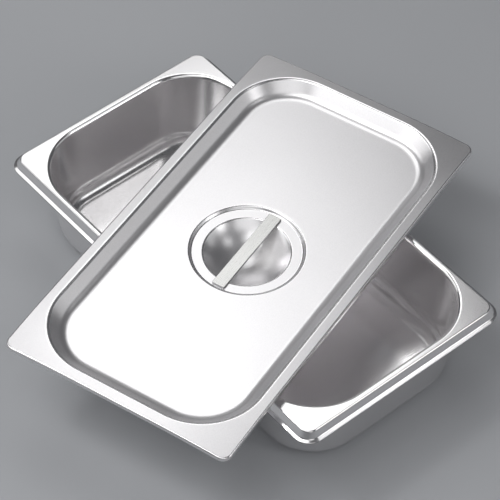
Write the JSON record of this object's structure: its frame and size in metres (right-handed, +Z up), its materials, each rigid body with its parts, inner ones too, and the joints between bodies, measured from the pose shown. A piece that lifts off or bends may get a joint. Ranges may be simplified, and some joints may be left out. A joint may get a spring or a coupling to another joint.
{
  "type": "deli food pan",
  "caption": "Third-size stainless steel food pan with flared rim, and a recessed lid with a finger dish and flat strap handle lying crosswise on it.",
  "frame": {"origin": "centre of the pan's flat underside, where it stands on a surface", "axes": "+Z up, +X along the pan's long side, +Y across it; the lid lies crosswise on the rim, turned 107.5 degrees about +Z"},
  "size_m": [0.325, 0.3593, 0.0754],
  "materials": {
    "pan_steel": "satin drawn stainless steel with a polished rim",
    "lid_steel": "fine satin stainless steel",
    "strap_steel": "brushed along its length"
  },
  "bodies": {
    "pan": {"pan": "pan_steel"},
    "lid": {"lid_cover": "lid_steel", "handle_strap": "strap_steel"}
  },
  "joints": [
    {"name": "lid_lift", "type": "slide", "parent": "pan", "child": "lid", "axis": [0, 0, 1], "range_m": [0, 0.12]}
  ]
}
